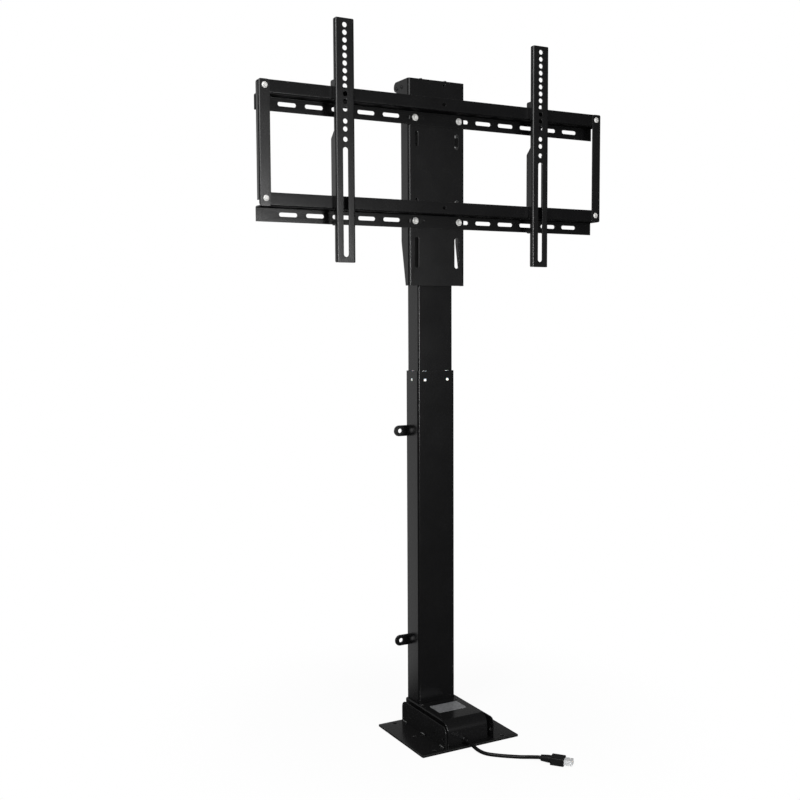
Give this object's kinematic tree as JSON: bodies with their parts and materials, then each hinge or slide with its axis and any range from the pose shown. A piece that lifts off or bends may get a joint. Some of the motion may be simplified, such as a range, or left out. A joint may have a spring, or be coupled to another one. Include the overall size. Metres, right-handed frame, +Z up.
{
  "type": "tv lift mechanism",
  "caption": "Floor-standing motorised television lift: base plate with geared motor, telescoping steel column, carriage channel, slotted rails and hooked arms for a screen.",
  "frame": {"origin": "on the floor, under the lead screw's axis in the middle of the column", "axes": "+Z up along the column, +X along the rails to the right as seen from the front, +Y to the rear"},
  "size_m": [0.7, 0.3288, 1.2565],
  "materials": {
    "black_coat": "satin black powder coat",
    "zinc": "bright zinc plate",
    "black_screw": "black oxide",
    "bare_plate": "matt silver, bare",
    "nylon": "white nylon",
    "die_cast": "die cast",
    "ground_steel": "ground steel",
    "ferrite": "sintered ferrite",
    "black_plastic": "moulded black",
    "cable_jacket": "black flexible jacket",
    "pale_plastic": "milky translucent moulding",
    "bronze": "machined bronze",
    "winding": "enamelled copper winding"
  },
  "bodies": {
    "base": {"base_plate": "black_coat", "left_cheek": "black_coat", "right_cheek": "black_coat", "base_welds": "black_coat", "motor_cover": "black_coat", "cover_posts": "zinc", "cover_screws": "black_screw", "rating_plate": "bare_plate", "outer_column": "black_coat", "upper_guide_pads": "nylon", "upper_wall_strap": "black_coat", "lower_wall_strap": "black_coat", "wall_strap_screws": "black_screw", "gear_case": "die_cast", "gear_case_lid": "die_cast", "lid_screws": "zinc", "screw_bearings": "ground_steel", "worm_bearings": "ground_steel", "motor_can": "ground_steel", "motor_magnets": "ferrite", "motor_end_cap": "black_plastic", "motor_bolts": "zinc", "motor_lead": "cable_jacket", "cable_relief": "cable_jacket", "motor_cable": "cable_jacket", "plug_boot": "cable_jacket", "plug_body": "black_plastic", "plug_nose": "pale_plastic"},
    "lift": {"inner_column": "black_coat", "inner_top_plug": "ground_steel", "nut_block": "nylon", "nut_block_pins": "ground_steel", "drive_nut": "bronze", "lower_guide_shoes": "nylon", "carriage_channel": "black_coat", "top_bracket": "black_coat", "top_screws": "black_screw", "ear_screws": "black_screw", "upper_rail": "black_coat", "lower_rail": "black_coat", "rail_bolts": "zinc", "rail_nuts": "zinc", "left_end_strap": "black_coat", "right_end_strap": "black_coat", "strap_bolts": "zinc", "strap_nuts": "zinc"},
    "screw": {"lead_screw": "ground_steel", "screw_end_stop": "ground_steel", "worm_wheel": "bronze"},
    "worm": {"worm_shaft": "ground_steel", "motor_armature": "winding"},
    "left_arm": {"left_arm": "black_coat"},
    "right_arm": {"right_arm": "black_coat"}
  },
  "joints": [
    {"name": "lift_slide", "type": "slide", "parent": "base", "child": "lift", "axis": [0, 0, 1], "range_m": [-0.5, 0]},
    {"name": "screw_turn", "type": "hinge", "parent": "base", "child": "screw", "pos_m": [0, 0, 0.025], "axis": [0, 0, 1], "range_deg": [-10, 9010]},
    {"name": "worm_turn", "type": "hinge", "parent": "base", "child": "worm", "pos_m": [0.0175, 0, 0.025], "axis": [0, 1, 0], "range_deg": [-100, 90100]},
    {"name": "left_arm_slide", "type": "slide", "parent": "lift", "child": "left_arm", "axis": [1, 0, 0], "range_m": [-0.1, 0.15]},
    {"name": "right_arm_slide", "type": "slide", "parent": "lift", "child": "right_arm", "axis": [1, 0, 0], "range_m": [-0.15, 0.1]}
  ],
  "couplings": [
    {"joint": "screw_turn", "follows": "lift_slide", "rad_per_m": -314.16},
    {"joint": "worm_turn", "follows": "lift_slide", "rad_per_m": -3141.6}
  ]
}
